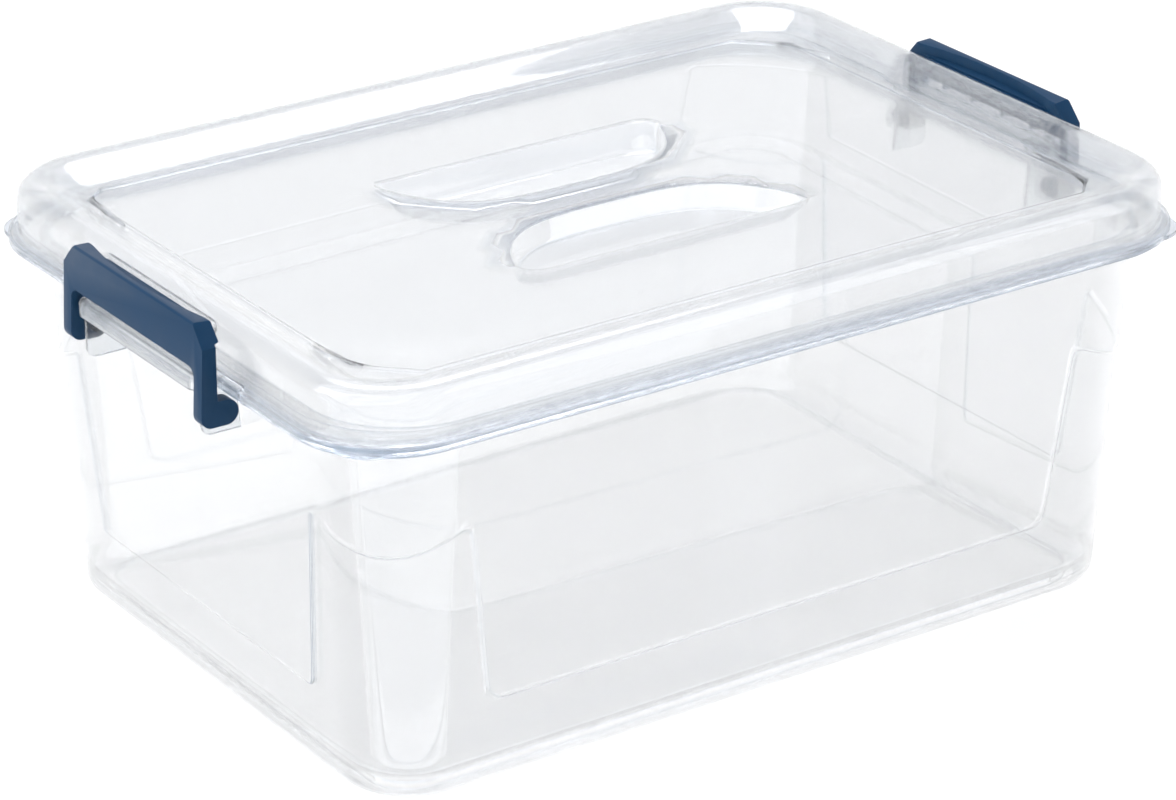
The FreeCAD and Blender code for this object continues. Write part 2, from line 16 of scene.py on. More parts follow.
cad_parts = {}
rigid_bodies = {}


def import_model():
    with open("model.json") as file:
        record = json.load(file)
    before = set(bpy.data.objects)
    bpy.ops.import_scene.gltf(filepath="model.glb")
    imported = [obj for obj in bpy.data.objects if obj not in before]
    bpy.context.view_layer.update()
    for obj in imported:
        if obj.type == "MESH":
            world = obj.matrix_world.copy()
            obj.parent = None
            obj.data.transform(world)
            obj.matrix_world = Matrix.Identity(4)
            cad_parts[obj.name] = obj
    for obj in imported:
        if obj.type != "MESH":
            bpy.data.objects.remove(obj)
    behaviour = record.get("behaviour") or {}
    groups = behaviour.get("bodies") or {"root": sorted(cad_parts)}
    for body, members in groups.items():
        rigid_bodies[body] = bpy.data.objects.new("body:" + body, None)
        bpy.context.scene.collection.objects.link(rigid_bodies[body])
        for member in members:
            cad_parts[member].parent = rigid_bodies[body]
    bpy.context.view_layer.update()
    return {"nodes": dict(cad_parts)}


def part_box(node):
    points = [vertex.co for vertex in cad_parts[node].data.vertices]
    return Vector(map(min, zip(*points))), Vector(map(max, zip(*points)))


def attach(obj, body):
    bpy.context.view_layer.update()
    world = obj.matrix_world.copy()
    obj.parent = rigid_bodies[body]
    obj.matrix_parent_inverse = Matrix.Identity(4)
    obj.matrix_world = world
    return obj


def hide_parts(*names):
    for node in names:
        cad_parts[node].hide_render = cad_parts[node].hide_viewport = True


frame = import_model()
MM = 0.001
TUB_LOW, TUB_HIGH = (np.array(corner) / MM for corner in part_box("tub"))
LID_LOW, LID_HIGH = (np.array(corner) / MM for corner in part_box("lid"))
print("lid", LID_LOW.round(1), LID_HIGH.round(1), "tub", TUB_LOW.round(1), TUB_HIGH.round(1))

# %% [markdown]
# Every shell here follows a rounded rectangle, so one function walks round it by arc length:
# along a straight, round a quarter circle and along the next straight. Points are packed
# closely round two marked places of each quarter, where a shape has an edge to show.

# %% A loop round a rounded rectangle
def packed(count):
    """Values from -1 to 1, close together round 0: 0.2 t plus 0.8 t cubed."""
    t = np.linspace(-1, 1, count + 1)
    return 0.2 * t + 0.8 * t ** 3


def quarter_steps(total, mark_a, mark_b, spread, counts):
    """Arc lengths from 0 to total along one quarter, packed within spread of two marks.

    The total and the marks are arrays as wide as the quarter has points.
    """
    at = 0
    out = np.zeros_like(total)
    ends = [0 * total, mark_a - spread, mark_a + spread, mark_b - spread, mark_b + spread, total]
    for k, count in enumerate(counts):
        t = (packed(count) + 1) / 2 if k % 2 else np.linspace(0, 1, count + 1)
        span = slice(at, at + count + 1)
        out[:, span] = (ends[k] + (ends[k + 1] - ends[k]))[:, span] * t + ends[k][:, span] * (1 - t)
        at += count
    return out


def quarter_points(half_x, half_y, radius, along):
    """Points a given arc length from the middle of the long side: straight, quarter turn, straight."""
    flat = half_x - radius
    turn = np.clip((along - flat) / radius, 0, np.pi / 2)
    rest = np.maximum(along - flat - radius * np.pi / 2, 0)
    x = np.clip(along, 0, flat) + radius * np.sin(turn)
    return x, half_y - radius + radius * np.cos(turn) - rest


def whole_loop(x, y):
    """The quarter turned into a full loop, clockwise from above, with no point twice."""
    back_x, back_y = x[:, ::-1], y[:, ::-1]
    loop_x = np.concatenate([x[:, :-1], back_x[:, :-1], -x[:, :-1], -back_x[:, :-1]], axis=1)
    loop_y = np.concatenate([y[:, :-1], -back_y[:, :-1], -y[:, :-1], back_y[:, :-1]], axis=1)
    return loop_x, loop_y


def smooth_step(t):
    """0 below 0, 1 above 1, with level ends: 3 t squared minus 2 t cubed."""
    t = np.clip(t, 0, 1)
    return t * t * (3 - 2 * t)


def column(*rows):
    """Rows of numbers as one tall array for each of their values."""
    table = np.array(rows, float)
    return tuple(table[:, k:k + 1] for k in range(table.shape[1]))


# %% Meshes from arrays
def ring_faces(rows, count, start=0):
    """Quads between neighbouring closed loops of a grid."""
    r, c = np.meshgrid(np.arange(rows - 1), np.arange(count), indexing="ij")
    a = start + r * count + c
    b = start + r * count + (c + 1) % count
    return np.stack([a, b, b + count, a + count], axis=-1).reshape(-1, 4)


def make_piece(name, points, faces, body, slot, stands_for=()):
    """Puts points (mm) and faces into a mesh, turns its faces outwards and lets it ride on a body."""
    mesh = bpy.data.meshes.new(name)
    mesh.from_pydata((np.asarray(points) * MM).tolist(), [], [list(map(int, f)) for f in faces])
    work = bmesh.new()
    work.from_mesh(mesh)
    bmesh.ops.recalc_face_normals(work, faces=work.faces)
    work.to_mesh(mesh)
    work.free()
    mesh.polygons.foreach_set("use_smooth", [True] * len(mesh.polygons))
    piece = bpy.data.objects.new(name, mesh)
    bpy.context.scene.collection.objects.link(piece)
    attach(piece, body)
    if stands_for:
        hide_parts(*stands_for)
    print(name, len(mesh.vertices), "points", len(mesh.polygons), "faces")
    return piece


def closed_loops(x, y, z, capped=(True, True)):
    """Points and faces of a stack of loops, closed by one flat face at each end."""
    rows, count = x.shape
    points = np.stack([x, y, z + 0 * x], axis=-1).reshape(-1, 3)
    faces = ring_faces(rows, count).tolist()
    if capped[0]:
        faces.append(list(range(count))[::-1])
    if capped[1]:
        faces.append(list(range((rows - 1) * count, rows * count)))
    return points, faces


# %% [markdown]
# The tub is one moulding about 2 mm thick. Its walls lean out by 3.3 degrees so that it leaves
# the mould, and each wall carries a raised panel. Between the panels the corners stay set back
# as columns with a dipped top. The raised area is found with a signed distance, negative inside
# the set-back part, which is rounded where two of its edges meet.

# %% Tub sizes
LEAN = math.tan(math.radians(3.3))
BASE_X, BASE_Y, BASE_R = 270.5, 189.5, 46.0
WALL = 2.2
PANEL_STEP = 1.6
PANEL_BOTTOM = 55.0
SIDE_EDGE = (194.0, 0.118)
END_EDGE = (115.0, 0.115)
COLUMN_ARC = 74.0
COLUMN_DIP = 157.0
COLUMN_TOP, COLUMN_LIFT = 165.0, 32.0
STEP_SLOPE = 1.8
WALL_COUNTS = (8, 20, 24, 20, 6)
EDGE_SPREAD = 14.0
COLUMN_MIDDLE = (BASE_X - BASE_Y) / math.sqrt(2)
FLOOR_TOP, FLOOR_UNDER = 7.0, 4.4
FOOT_FILLET, FLOOR_FILLET = 11.0, 17.0


def round_both(a, b, radius):
    """Signed distance of what is inside both shapes, its corner rounded."""
    corner = np.hypot(np.maximum(radius + a, 0), np.maximum(radius + b, 0))
    return np.minimum(-radius, np.maximum(a, b)) + corner


def round_either(a, b, radius):
    """Signed distance of what is inside either shape, its inner corner rounded."""
    corner = np.hypot(np.maximum(radius - a, 0), np.maximum(radius - b, 0))
    return np.maximum(radius, np.minimum(a, b)) - corner


def column_top(x, y):
    """Height of the dipped top of a corner column: a circle seen along the diagonal."""
    across = np.clip((np.abs(x) - np.abs(y)) / math.sqrt(2) - COLUMN_MIDDLE, -48, 48)
    return COLUMN_DIP + COLUMN_ARC - np.sqrt(COLUMN_ARC ** 2 - across ** 2)


def set_back(x, y, z, past_side, past_end):
    """1 where the wall is set back and 0 on the raised panels, over the width of the step's slope."""
    top = z - column_top(x, y)
    side = round_both(-past_side, top, 8.0)
    end = round_both(-past_end, top, 3.0)
    corner = np.where(past_side < past_end, 9.0, 5.0)
    low = round_either(np.maximum(side, end), z - PANEL_BOTTOM, corner)
    return smooth_step(0.5 - low / STEP_SLOPE)


def wall_loops(z, inset):
    """Loops of the leaning wall at given heights, moved inwards by inset and by the panel step."""
    guess = np.ones((1, sum(WALL_COUNTS) + 1)) * z
    for _ in range(3):
        wide = BASE_X + LEAN * guess - inset
        deep = BASE_Y + LEAN * guess - inset
        radius = BASE_R + LEAN * guess - inset
        total = wide - radius + radius * np.pi / 2 + deep - radius
        mark_a = SIDE_EDGE[0] + SIDE_EDGE[1] * guess
        mark_b = total - END_EDGE[0] - END_EDGE[1] * guess
        along = quarter_steps(total, mark_a, mark_b, EDGE_SPREAD, WALL_COUNTS)
        x, y = quarter_points(wide, deep, radius, along)
        lift = np.cos(np.clip((z - COLUMN_TOP) / COLUMN_LIFT, -1, 1) * np.pi / 2) ** 2
        guess = z + lift * (column_top(x, y) - COLUMN_TOP)
    back = PANEL_STEP * set_back(x, y, guess, along - mark_a, mark_b - along)
    x, y = quarter_points(wide - back, deep - back, radius - back, along - 0 * back)
    return x, y, guess


# %% Tub rows
def fillet_rows(radius, count, start, end, base):
    """Heights and insets of a quarter round between two angles, measured from its lowest point."""
    angle = np.radians(np.linspace(start, end, count))
    return base + radius * (1 - np.cos(angle)), radius * (1 - np.sin(angle))


panel_rows = PANEL_BOTTOM + 14 * packed(18)
dip_rows = COLUMN_TOP + 20 * packed(18)
wall_heights = np.concatenate([np.linspace(14, 38, 5), panel_rows, np.linspace(76, 138, 8), dip_rows,
                               np.linspace(190, 231, 7)])
foot_z, foot_in = fillet_rows(FOOT_FILLET, 10, 0, 86, 0)
under_z = np.array([FLOOR_UNDER, FLOOR_UNDER, FLOOR_UNDER, 4.2, 3.6, 1.2, 0.35, 0.0])
under_in = np.array([34.0, 24.0, 18.6, 17.6, 17.1, 16.8, 16.3, 15.5])
outer_z = np.concatenate([under_z, foot_z, wall_heights])[:, None]
outer_in = np.concatenate([under_in, foot_in, 0 * wall_heights])[:, None]
floor_z, floor_in = fillet_rows(FLOOR_FILLET, 10, 4, 86, FLOOR_TOP)
floor_z = np.concatenate([[FLOOR_TOP, FLOOR_TOP], floor_z])
floor_in = np.concatenate([[34.0, 24.0], floor_in])
inner_z = np.concatenate([floor_z, np.linspace(27, 38, 3), wall_heights[5:], [236.0, 238.2]])[::-1, None]
inner_in = WALL + np.concatenate([floor_in, 0 * np.linspace(27, 38, 3), 0 * wall_heights[5:],
                                  [0.0, 0.0]])[::-1, None]
ox, oy, oz = wall_loops(outer_z, outer_in)
ix, iy, iz = wall_loops(inner_z, inner_in)
print("tub rows", len(outer_z), len(inner_z), "columns", 4 * (ox.shape[1] - 1))

# %% Rim of the tub
RIM_X, RIM_Y = LID_HIGH[0] - 3.2, LID_HIGH[1] - 3.2
RIM_R = 59.8
RIM_UNDER, RIM_TOP, RIM_EDGE = 232.8, 235.0, 228.5
RIM_LEVEL = 234.0
MARK_DRIFT = 27.0


def rim_loops(out, z):
    """Loops between the wall (out 0) and the rim's outer face (out 1) at given heights."""
    wall_x, wall_y, wall_r = (size + LEAN * RIM_LEVEL for size in (BASE_X, BASE_Y, BASE_R))
    wide = wall_x + (RIM_X - wall_x) * out + 0 * np.ones((1, ox.shape[1]))
    deep = wall_y + (RIM_Y - wall_y) * out + 0 * wide
    radius = wall_r + (RIM_R - wall_r) * out + 0 * wide
    total = wide - radius + radius * np.pi / 2 + deep - radius
    mark_a, mark_b = SIDE_EDGE[0] + MARK_DRIFT + 0 * wide, total - END_EDGE[0] - MARK_DRIFT
    along = quarter_steps(total, mark_a, mark_b, EDGE_SPREAD, WALL_COUNTS)
    x, y = quarter_points(wide, deep, radius, along)
    return x, y, z + 0 * x


rim_out, rim_z = column((0.05, RIM_UNDER - 0.4), (0.2, RIM_UNDER), (0.78, RIM_UNDER),
                        (0.86, RIM_UNDER - 0.5),
                        (0.875, RIM_UNDER - 1.4), (0.875, RIM_EDGE + 0.4), (0.9, RIM_EDGE), (0.97, RIM_EDGE),
                        (1.0, RIM_EDGE + 0.4), (1.0, RIM_TOP - 1.2), (0.97, RIM_TOP - 0.3), (0.9, RIM_TOP),
                        (0.25, RIM_TOP), (0.1, RIM_TOP + 0.1), (0.03, RIM_TOP + 0.5))
rx, ry, rz = rim_loops(rim_out, rim_z)
top_z, top_in = column((236.2, 0.0), (238.0, 0.0), (238.7, 0.25), (239.0, 0.8), (239.0, 1.5), (238.7, 2.0))
tx, ty, tz = wall_loops(top_z, top_in)
x, y = whole_loop(np.concatenate([ox, rx, tx, ix]), np.concatenate([oy, ry, ty, iy]))
z, _ = whole_loop(np.concatenate([oz, rz, tz, iz]), np.concatenate([oy, ry, ty, iy]))
z = np.abs(z)
points, faces = closed_loops(x, y, z)
tub_shell = make_piece("tub_shell", points, faces, "tub", "clear_tub", ["tub"])

# %% [markdown]
# Under each handle the tub has a bar that the handle's window goes over, and two cheeks with a
# round pin each. Plates like these are an outline with a straight depth, so they are extruded
# and a Bevel takes their sharp edges off, as the mould does.

# %% Plates with an outline
def extruded(outline, low, high, axis):
    """Prism: an outline in two axes, carried along the third from low to high."""
    outline = np.asarray(outline, float)
    count = len(outline)
    points = np.zeros((2 * count, 3))
    others = [k for k in range(3) if k != axis]
    for level, place in enumerate((low, high)):
        rows = slice(level * count, (level + 1) * count)
        points[rows, others[0]], points[rows, others[1]] = outline.T
        points[rows, axis] = place
    faces = ring_faces(2, count).tolist() + [list(range(count))[::-1], list(range(count, 2 * count))]
    return points, faces


def joined(*meshes):
    """Several (points, faces) as one."""
    points, faces, start = [], [], 0
    for some_points, some_faces in meshes:
        points.append(some_points)
        faces += [[int(i) + start for i in face] for face in some_faces]
        start += len(some_points)
    return np.concatenate(points), faces


def soften(piece, width, segments=3, angle=35):
    """Rounds a piece's sharp edges by a width in mm."""
    bevel = piece.modifiers.new("soft edges", "BEVEL")
    bevel.width = width * MM
    bevel.segments = segments
    bevel.limit_method = "ANGLE"
    bevel.angle_limit = math.radians(angle)
    bevel.harden_normals = True


def arc(cx, cy, radius, start, end, count=12):
    """Points of an arc between two angles in degrees."""
    t = np.radians(np.linspace(start, end, count))
    return np.stack([cx + radius * np.cos(t), cy + radius * np.sin(t)], axis=1)


# %% Handle bars, cheeks and pins
PIVOT_X, PIVOT_Z = 300.5, 216.5
BAR_HALF, BAR_OUT = 67.5, 313.5
PIN_RADIUS, PIN_LENGTH = 3.0, 8.0
CHEEK_THICKNESS = 3.0
for side, s in (("left", -1), ("right", 1)):
    middle, half = (BAR_OUT + RIM_X + 0.1) / 2, (BAR_OUT - RIM_X - 0.1) / 2
    inset, level = column((5.5, 238.0), (2.6, 238.0), (0.9, 237.4), (0.0, 235.8), (0.0, 228.0), (0.3, 227.5),
                          (1.9, 227.5), (2.2, 228.0), (2.2, 235.2), (3.0, 235.8), (5.5, 235.8))
    spread = np.ones((1, 31))
    wide, deep = (half - inset) * spread, (BAR_HALF - inset) * spread
    radius = np.maximum(6.5 - inset, 0.9) * spread
    total = wide - radius + radius * np.pi / 2 + deep - radius
    flat = wide - radius
    t = np.concatenate([np.linspace(0, 1, 5)[:-1], np.linspace(1, 2, 13)[:-1], np.linspace(2, 3, 15)])[None]
    along = np.where(t < 1, t * flat, np.where(t < 2, flat + (t - 1) * radius * np.pi / 2,
                                               flat + radius * np.pi / 2 + (t - 2) * (deep - radius)))
    qx, qy = quarter_points(wide, deep, radius, along)
    bx, by = whole_loop(qx, qy)
    points, faces = closed_loops(s * (bx + middle), by, level)
    make_piece("handle_bar_" + side, points, faces, "tub", "clear_tub")
    cheek = np.concatenate([[(286.0, 233.0), (283.0, 199.0)], arc(302.0, 205.0, 6.0, -90, 0),
                            [(308.0, 228.2)], [(300.0, 228.2)]]) * (s, 1)
    plates = [extruded(cheek, t * (BAR_HALF - CHEEK_THICKNESS), t * BAR_HALF, 1) for t in (-1, 1)]
    pin = arc(s * PIVOT_X, PIVOT_Z, PIN_RADIUS, 0, 350, 28)
    pins = [extruded(pin, t * (BAR_HALF - 0.5), t * (BAR_HALF + PIN_LENGTH), 1) for t in (-1, 1)]
    cheeks = make_piece("cheeks_" + side, *joined(*plates, *pins), "tub", "clear_tub")
    soften(cheeks, 0.5, 2)

# %% [markdown]
# The lid is a thin sheet, so only its upper skin is drawn and Solidify gives it 2 mm. Its
# section runs from the skirt over a ledge, round a half-round bead and down a slope to the flat
# panel. At both ends the skirt is left out and the bead has a flat seat for the latch's lip:
# there the same rows of points are led along another section.

# %% Lid section
LID_X, LID_Y, LID_R = LID_HIGH[0], LID_HIGH[1], 63.0
LID_WALL = 2.0
LEDGE_Z = 237.2
BEAD_O, BEAD_Z, BEAD_RADIUS = 18.0, 256.0, 12.0
BEAD_SLOPE = 30.5
PANEL_Z = 256.3
NOTCH_HALF, SEAT_HALF = 96.0, 62.0
SEAT_INSET, SEAT_Z = 8.5, 257.7


def along_path(corners, count):
    """Points spread evenly along a run of straight stretches."""
    corners = np.asarray(corners, float)
    far = np.concatenate([[0], np.cumsum(np.hypot(*np.diff(corners, axis=0).T))])
    t = np.linspace(0, far[-1], count)
    return np.stack([np.interp(t, far, corners[:, 0]), np.interp(t, far, corners[:, 1])], axis=1)


skirt = np.array([(0.9, 231.0), (0.3, 231.1), (0.0, 231.6), (0.0, 233.5), (0.0, 235.6), (0.25, 236.6),
                  (0.8, 237.1), (1.6, LEDGE_Z), (4.4, LEDGE_Z), (5.3, 237.4), (5.8, 237.9), (6.0, 238.8)])
side = np.array([(6.0, 242.0), (6.0, 248.0), (6.0, 254.0)])
shoulder_angle = math.degrees(math.acos((SEAT_INSET - BEAD_O) / BEAD_RADIUS))
shoulder = arc(BEAD_O, BEAD_Z, BEAD_RADIUS, 180, shoulder_angle, 16)
crown = arc(BEAD_O, BEAD_Z, BEAD_RADIUS, shoulder_angle, 90 - BEAD_SLOPE, 14)[1:]
slope = math.tan(math.radians(BEAD_SLOPE))
foot_o = crown[-1, 0] + (crown[-1, 1] - PANEL_Z) / slope
bend = 3.0
run_in = np.array([(crown[-1, 0] + (foot_o - bend - crown[-1, 0]) * t, crown[-1, 1] - slope *
                    (foot_o - bend - crown[-1, 0]) * t) for t in (0.35, 0.7, 1.0)])
bend_in = np.array([((1 - t) ** 2 * (foot_o - bend) + 2 * t * (1 - t) * foot_o + t * t * (foot_o + bend),
                     (1 - t) ** 2 * (PANEL_Z + bend * slope) + 2 * t * (1 - t) * PANEL_Z + t * t * PANEL_Z)
                    for t in (0.2, 0.4, 0.6, 0.8, 1.0)])
section = np.concatenate([skirt, side, shoulder, crown, run_in, bend_in, [(46.0, PANEL_Z)]])
seated = section.copy()
seated[:len(skirt)] = along_path([(6.6, 235.3), (6.0, 235.9), (6.0, 238.8)], len(skirt))
seat_from = len(skirt) + len(side)
seat = section.copy()
seat[seat_from:seat_from + len(shoulder)] = along_path(
    [(6.0, BEAD_Z), (6.0, SEAT_Z - 0.6), (6.5, SEAT_Z), (SEAT_INSET - 0.5, SEAT_Z),
     (SEAT_INSET, SEAT_Z + 0.6), shoulder[-1]], len(shoulder))
print("lid section", len(section), "points, slope foot at", round(foot_o, 1))

# %% Lid skin round the edge
COUNTS = (10, 6, 22, 44, 8)
inset = section[:, 0:1] + np.zeros((1, sum(COUNTS) + 1))


def lid_quarter(inset):
    """Quarter of the lid's outline moved inwards, with points packed where the notch ends."""
    wide, deep, radius = LID_X - inset, LID_Y - inset, LID_R - inset
    total = wide - radius + radius * np.pi / 2 + deep - radius
    along = quarter_steps(total, 200 + 0 * inset, total - 79, 25.0, COUNTS)
    return quarter_points(wide, deep, radius, along)


x, y = lid_quarter(inset)
end_wall = smooth_step((x - 240) / 2)
open_skirt = smooth_step((NOTCH_HALF + 1 - y) / 2) * end_wall
open_seat = smooth_step((SEAT_HALF + 1 - y) / 2) * end_wall
to_skirt, to_seat = seated - section, seat - section
inset = inset + to_skirt[:, 0:1] * open_skirt + to_seat[:, 0:1] * open_seat
height = section[:, 1:2] + to_skirt[:, 1:2] * open_skirt + to_seat[:, 1:2] * open_seat
x, y = lid_quarter(inset)
loop_x, loop_y = whole_loop(x, y)
loop_z = np.abs(whole_loop(height, height)[0])

# %% Fine step round the panel
BORDER_X, BORDER_Y = LID_X - 48.6, LID_Y - 48.6
BORDER_STEP = 0.8


def cut_corner_loop(shrink, cuts):
    """Loop round a rectangle whose corners are cut off, one cut for each corner in the loop's order."""
    wide, deep = BORDER_X - shrink, BORDER_Y - shrink
    first, turn = sum(COUNTS[:2]), COUNTS[2]
    rest = sum(COUNTS[3:])
    xs, ys = [], []
    for k, cut in enumerate(cuts):
        cut = cut - 0.6 * shrink
        t = np.linspace(0, 1, turn + 1)
        across = (np.linspace(0, wide - cut, first + 1)[:-1], wide - cut * (1 - t), np.full(rest, wide))
        down = (np.full(first, deep), deep - cut * t, np.linspace(deep - cut, 0, rest + 1)[1:])
        qx, qy = np.concatenate(across), np.concatenate(down)
        if k % 2:
            qx, qy = qx[::-1], qy[::-1]
        xs.append(qx[:-1] * (1 if k < 2 else -1))
        ys.append(qy[:-1] * (1 if k in (0, 3) else -1))
    return np.concatenate(xs), np.concatenate(ys)


CUTS = (28.0, 14.0, 30.0, 14.0)
border = [(-0.8, 0.0), (0.0, 0.0), (0.25, 0.1), (0.75, 0.7), (1.0, BORDER_STEP), (2.2, BORDER_STEP)]
border_x, border_y = np.stack([cut_corner_loop(shrink, CUTS) for shrink, _ in border], axis=1)
border_z = np.array([[PANEL_Z - drop] for _, drop in border])
loop_x, loop_y = np.concatenate([loop_x, border_x]), np.concatenate([loop_y, border_y])
loop_z = np.concatenate([loop_z, border_z + 0 * border_x])
print("lid edge grid", loop_x.shape)

# %% [markdown]
# Two boat-shaped pockets leave a web between them to grip. Each is a loft between its outline on
# the panel and a smaller one on its floor. The web side is steep; the outer side slopes as a scoop.

# %% Finger pockets
POCKET_DEPTH = 15.0
POCKET_POINTS = 180


def pocket_outline(reach, outer, inner, nose):
    """Straight outer edge, a round nose at one end and a bowed inner side.

    The bow is (1 - |x / reach| to the 3.6) to the 1 / 1.55, as deep as outer minus inner.
    """
    angle = np.linspace(0, np.pi, 400)
    bow_x = reach * np.cos(angle)
    bow = (1 - np.abs(np.cos(angle)) ** 3.6) ** (1 / 1.55)
    bow_y = outer - (outer - inner) * bow
    keep = ~((bow_x > reach - nose) & (bow_y > outer - nose))
    corner = arc(reach - nose, outer - nose, nose, 90, 0, 30)
    xs = np.concatenate([np.linspace(-reach, reach - nose, 80)[:-1], corner[:, 0], bow_x[keep]])
    ys = np.concatenate([np.full(79, outer), corner[:, 1], bow_y[keep]])
    for _ in range(3):
        steps = np.hypot(np.diff(xs, append=xs[0]), np.diff(ys, append=ys[0]))
        far = np.concatenate([[0], np.cumsum(steps)])
        t = np.linspace(0, far[-1], POCKET_POINTS, endpoint=False)
        xs, ys = (np.interp(t, far, np.append(v, v[0])) for v in (xs, ys))
        xs, ys = ((np.roll(v, 1) + 2 * v + np.roll(v, -1)) / 4 for v in (xs, ys))
    return xs, ys


top_x, top_y = pocket_outline(102.0, 84.5, 17.0, 14.0)
low_x, low_y = pocket_outline(92.0, 70.0, 20.5, 11.0)
inwards, down = column((-0.12, 0.0), (-0.04, 0.0), (0.02, 0.02), (0.08, 0.08), (0.2, 0.22), (0.4, 0.44),
                       (0.6, 0.66), (0.78, 0.85), (0.88, 0.94), (0.96, 0.985), (1.05, 1.0), (1.35, 1.0))
pocket_x = top_x + (low_x - top_x) * inwards
pocket_y = top_y + (low_y - top_y) * inwards
pocket_z = PANEL_Z - BORDER_STEP - POCKET_DEPTH * down + 0 * pocket_x
print("pocket grid", pocket_x.shape, "floor", round(float(pocket_z.min()), 1))

# %% Filling a flat panel that has holes
def is_inside(points, loop):
    """Whether each point is inside a closed loop: a line to its right crosses it an odd number of times."""
    x, y = points[:, 0:1], points[:, 1:2]
    ax, ay = loop.T
    bx, by = np.roll(loop, -1, axis=0).T
    crosses = (ay > y) != (by > y)
    level = np.where(by == ay, 1.0, by - ay)
    return (crosses & (x < ax + (y - ay) / level * (bx - ax))).sum(axis=1) % 2 == 1


def flat_fill(points, loops, spacing):
    """Delaunay triangles between an outer loop and its holes, with a grid of points in between.

    They are found on points bowed outwards, so that no three along a straight edge are in line.
    """
    flat = points[:, :2]
    edge_ids = np.concatenate(loops)
    outer = flat[loops[0]]
    gx, gy = np.meshgrid(np.arange(outer[:, 0].min(), outer[:, 0].max(), spacing),
                         np.arange(outer[:, 1].min(), outer[:, 1].max(), spacing))
    grid = np.stack([gx.ravel(), gy.ravel()], axis=1)

    def between(places):
        in_hole = is_inside(places, flat[loops[1]]) | is_inside(places, flat[loops[2]])
        return is_inside(places, outer) & ~in_hole

    gaps = np.hypot(*(grid[:, None] - flat[edge_ids][None]).transpose(2, 0, 1)).min(axis=1)
    grid = grid[between(grid) & (gaps > spacing * 0.45)]
    level = points[loops[0][0], 2]
    extra = np.column_stack([grid, np.full(len(grid), level)])
    ids = np.concatenate([edge_ids, len(points) + np.arange(len(grid))])
    places = np.concatenate([flat[edge_ids], grid])
    borders, start = [], 0
    for loop in loops:
        borders += [(start + k, start + (k + 1) % len(loop)) for k in range(len(loop))]
        start += len(loop)
    far = (places ** 2).sum(axis=1, keepdims=True)
    bowed = places * (1 + 0.3 * (1 - far / far.max()))
    found = delaunay_2d_cdt([Vector(p) for p in bowed], borders, [], 0, 1e-7)
    print("panel fill", len(bowed), "points in", len(found[0]), "out", len(found[2]), "triangles")
    new_ids = np.array([ids[group[0]] for group in found[3]])
    triangles = np.array(found[2])
    corners = places[np.array([group[0] for group in found[3]])[triangles]]
    side, other = corners[:, 1] - corners[:, 0], corners[:, 2] - corners[:, 0]
    real = np.abs(side[:, 0] * other[:, 1] - side[:, 1] * other[:, 0]) > 0.001
    return np.concatenate([points, extra]), new_ids[triangles[between(corners.mean(axis=1)) & real]].tolist()


# %% Lid skin
edge_points, edge_faces = closed_loops(loop_x, loop_y, loop_z, (False, False))
pockets = [closed_loops(turn * pocket_x, turn * pocket_y, pocket_z, (False, True)) for turn in (1, -1)]
points, faces = joined((edge_points, edge_faces), *pockets)
count = loop_x.shape[1]
starts = [(len(edge_points) - count, count)]
starts += [(len(edge_points) + k * pocket_x.size, POCKET_POINTS) for k in (0, 1)]
loops = [np.arange(start, start + size) for start, size in starts]
points, panel_faces = flat_fill(points, loops, 12.0)
faces += panel_faces
lid_shell = make_piece("lid_shell", points, faces, "lid", "clear_lid", ["lid"])
if max(lid_shell.data.polygons, key=lambda face: face.area).normal.z < 0:
    lid_shell.data.flip_normals()
thick = lid_shell.modifiers.new("wall", "SOLIDIFY")
thick.thickness = LID_WALL * MM
thick.offset = -1
thick.use_even_offset = False
thick.use_quality_normals = True
print("lid skin", len(lid_shell.data.polygons), "faces")

# %% Corner tabs
tabs = []
TAB_RADIUS, TAB_REACH = 23.7, 4.5
for sx, sy in ((1, 1), (1, -1), (-1, -1), (-1, 1)):
    heading = math.degrees(math.atan2(sy, sx))
    centre = np.array([sx * (LID_X - LID_R), sy * (LID_Y - LID_R)])
    middle = centre + (LID_R + TAB_REACH - TAB_RADIUS) * np.array([sx, sy]) / math.sqrt(2)
    outline = np.concatenate([arc(*middle, TAB_RADIUS, heading - 44, heading + 44, 24),
                              arc(*centre, LID_R - 0.8, heading + 14.6, heading - 14.6, 24)])
    tabs.append(extruded(outline, LID_LOW[2] + 0.1, LID_LOW[2] + 2.5, 2))
lid_tabs = make_piece("lid_corner_tabs", *joined(*tabs), "lid", "clear_lid")
soften(lid_tabs, 0.6, 2)

# %% [markdown]
# Each latch handle swings on two pins: a face plate with a lip that snaps over the lid, and two
# legs ending in a rounded hook. Its shape is already right in the frame, so a copy of that mesh
# is merged, its flat faces are joined, and a Bevel gives the moulded edges their shine.

# %% Latch handles
for side in ("left", "right"):
    node = "latch_" + side
    source = frame["nodes"][node]
    mesh = source.data.copy()
    mesh.name = "handle_" + side
    work = bmesh.new()
    work.from_mesh(mesh)
    bmesh.ops.remove_doubles(work, verts=work.verts, dist=0.00001)
    bmesh.ops.dissolve_limit(work, angle_limit=math.radians(0.5), verts=work.verts, edges=work.edges)
    work.to_mesh(mesh)
    work.free()
    mesh.materials.clear()
    mesh.polygons.foreach_set("use_smooth", [True] * len(mesh.polygons))
    handle = bpy.data.objects.new("handle_" + side, mesh)
    bpy.context.scene.collection.objects.link(handle)
    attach(handle, node)
    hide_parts(node)
    soften(handle, 0.6, 3, 30)
    print(handle.name, len(mesh.polygons), "faces")

